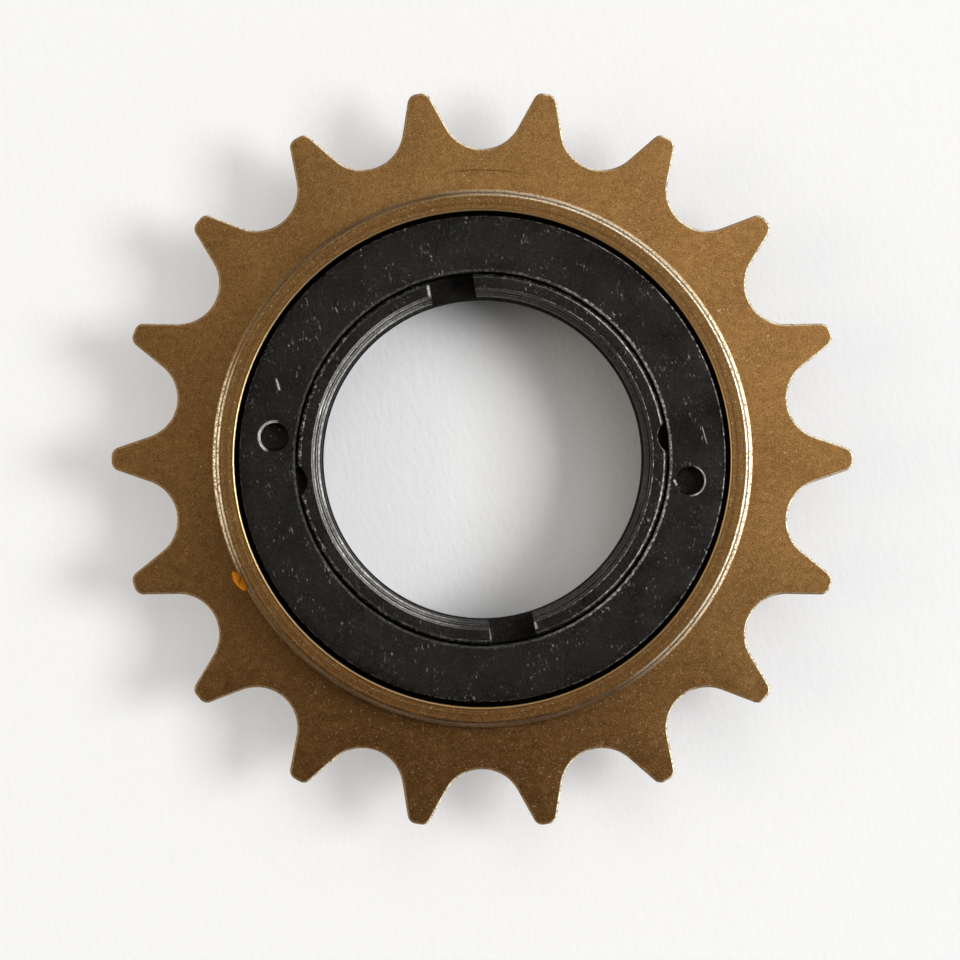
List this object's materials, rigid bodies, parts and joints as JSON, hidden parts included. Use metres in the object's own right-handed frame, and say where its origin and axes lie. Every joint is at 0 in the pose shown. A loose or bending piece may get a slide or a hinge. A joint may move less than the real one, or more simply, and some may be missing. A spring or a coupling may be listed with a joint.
{
  "type": "bicycle freewheel",
  "caption": "Screw-on bicycle freewheel: a bronze-coloured toothed body that spins on balls round a black threaded core with a lock ring, sprung pawls and remover notches.",
  "frame": {"origin": "centre of the hub bore on the hub-side face of the core", "axes": "+Z along the axle away from the wheel, toward the lock ring; remover notches on +Y and -Y"},
  "size_m": [0.0772, 0.0782, 0.0142],
  "materials": {
    "bronze_steel": "bronze-coloured satin plating on steel, worn bright on the tooth edges",
    "black_steel": "oiled black oxide on steel, scratched and worn bright on the edges",
    "plain_steel": "plain rolled steel",
    "hard_steel": "ground hardened steel",
    "spring_steel": "blued spring strip",
    "bearing_steel": "polished bearing steel"
  },
  "bodies": {
    "core": {"inner_core": "black_steel", "lock_ring": "black_steel", "shim_thin": "plain_steel", "shim_thick": "plain_steel", "pawl_spring_1": "spring_steel", "pawl_spring_2": "spring_steel"},
    "sprocket": {"sprocket_body": "bronze_steel"},
    "pawl_a": {"pawl_1": "hard_steel"},
    "pawl_b": {"pawl_2": "hard_steel"},
    "front_row": {"front_balls": "bearing_steel"},
    "rear_row": {"rear_balls": "bearing_steel"}
  },
  "joints": [
    {"name": "freewheel_spin", "type": "hinge", "parent": "core", "child": "sprocket", "pos_m": [0, 0, 0], "axis": [0, 0, 1], "continuous": true},
    {"name": "front_ball_orbit", "type": "hinge", "parent": "core", "child": "front_row", "pos_m": [0, 0, 0], "axis": [0, 0, 1], "continuous": true},
    {"name": "rear_ball_orbit", "type": "hinge", "parent": "core", "child": "rear_row", "pos_m": [0, 0, 0], "axis": [0, 0, 1], "continuous": true},
    {"name": "pawl_1_swing", "type": "hinge", "parent": "core", "child": "pawl_a", "pos_m": [0.02037, -0.00117, 0.00675], "axis": [0, 0, -1], "range_deg": [0, 10.8], "stiffness_Nm_per_rad": 0.002, "springref_deg": 10.8, "deforming": ["pawl_spring_1"]},
    {"name": "pawl_2_swing", "type": "hinge", "parent": "core", "child": "pawl_b", "pos_m": [-0.02037, 0.00117, 0.00675], "axis": [0, 0, -1], "range_deg": [0, 10.8], "stiffness_Nm_per_rad": 0.002, "springref_deg": 10.8, "deforming": ["pawl_spring_2"]}
  ],
  "couplings": [
    {"joint": "front_ball_orbit", "follows": "freewheel_spin", "ratio": 0.5244},
    {"joint": "rear_ball_orbit", "follows": "freewheel_spin", "ratio": 0.5244}
  ]
}
